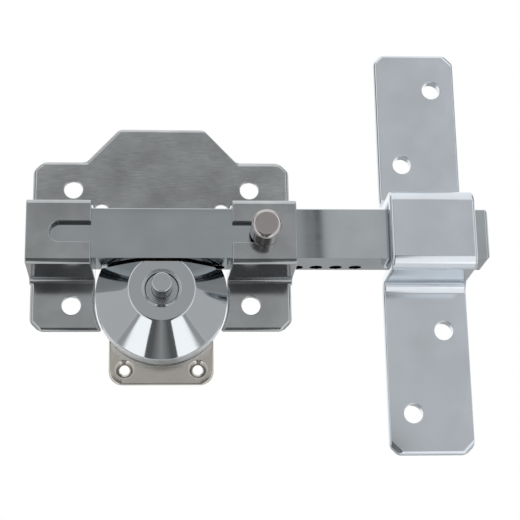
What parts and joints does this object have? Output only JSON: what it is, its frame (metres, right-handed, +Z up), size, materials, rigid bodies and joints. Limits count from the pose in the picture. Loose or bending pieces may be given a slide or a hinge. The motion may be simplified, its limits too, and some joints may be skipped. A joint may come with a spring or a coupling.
{
  "type": "surface deadbolt",
  "caption": "Surface-mounted deadbolt: pressed case with a square sliding bar and knob, key-driven pinion under a cone cover, cylinder plate, and a bridge-shaped strike.",
  "frame": {"origin": "the middle of the case's four screw holes, on the plane of the door's face", "axes": "+X is the way the bolt is thrown, along the bolt; +Z is up; -Y points out of the door into the room, and +Y into the door"},
  "size_m": [0.1396, 0.0397, 0.13],
  "materials": {
    "case_steel": "nickel-plated steel sheet, fine brushing along the plate, polished bridges",
    "bolt_steel": "nickel-plated solid steel bar, smooth satin",
    "knob_nickel": "turned and nickel-plated, faintly streaked",
    "cover_chrome": "polished nickel-plated cone",
    "base_steel": "plated, satin",
    "plate_nickel": "nickel-plated sheet, warm satin",
    "strike_steel": "nickel-plated thick steel strip, soft satin, bright on the bends",
    "spindle_steel": "turned, plated",
    "button_steel": "turned, plated",
    "pinion_steel": "stamped, yellow zinc",
    "pin_steel": "plain turned steel",
    "spring_steel": "bright spring steel",
    "bush_brass": "turned brass",
    "nylon": "natural milky nylon, moulded"
  },
  "bodies": {
    "case": {"case_plate": "case_steel", "left_bolt_guide": "nylon", "right_bolt_guide": "nylon", "left_drag_spring": "spring_steel", "right_drag_spring": "spring_steel", "cylinder_plate": "plate_nickel", "spindle_bush": "bush_brass", "cover_base": "base_steel", "base_rivets": "pin_steel", "cone_cover": "cover_chrome", "strike_bracket": "strike_steel"},
    "bolt": {"bolt_bar": "bolt_steel", "slot_sleeve": "pin_steel", "knob_stud": "pin_steel", "bolt_knob": "knob_nickel"},
    "pinion": {"drive_pinion": "pinion_steel", "spindle": "spindle_steel", "spindle_clip": "spring_steel", "tail_driver": "bush_brass", "tail_pin": "pin_steel", "button_spring": "spring_steel"},
    "button": {"release_button": "button_steel"}
  },
  "joints": [
    {"name": "bolt_slide", "type": "slide", "parent": "case", "child": "bolt", "axis": [-1, 0, 0], "range_m": [0, 0.06]},
    {"name": "pinion_spin", "type": "hinge", "parent": "case", "child": "pinion", "pos_m": [0, 0, -0.0173], "axis": [0, -1, 0], "range_deg": [-2, 362]},
    {"name": "button_press", "type": "slide", "parent": "pinion", "child": "button", "axis": [0, 1, 0], "range_m": [0, 0.004], "stiffness_N_per_m": 300, "springref_m": -0.002, "deforming": ["button_spring"]}
  ],
  "couplings": [
    {"joint": "pinion_spin", "follows": "bolt_slide", "rad_per_m": 104.72}
  ]
}
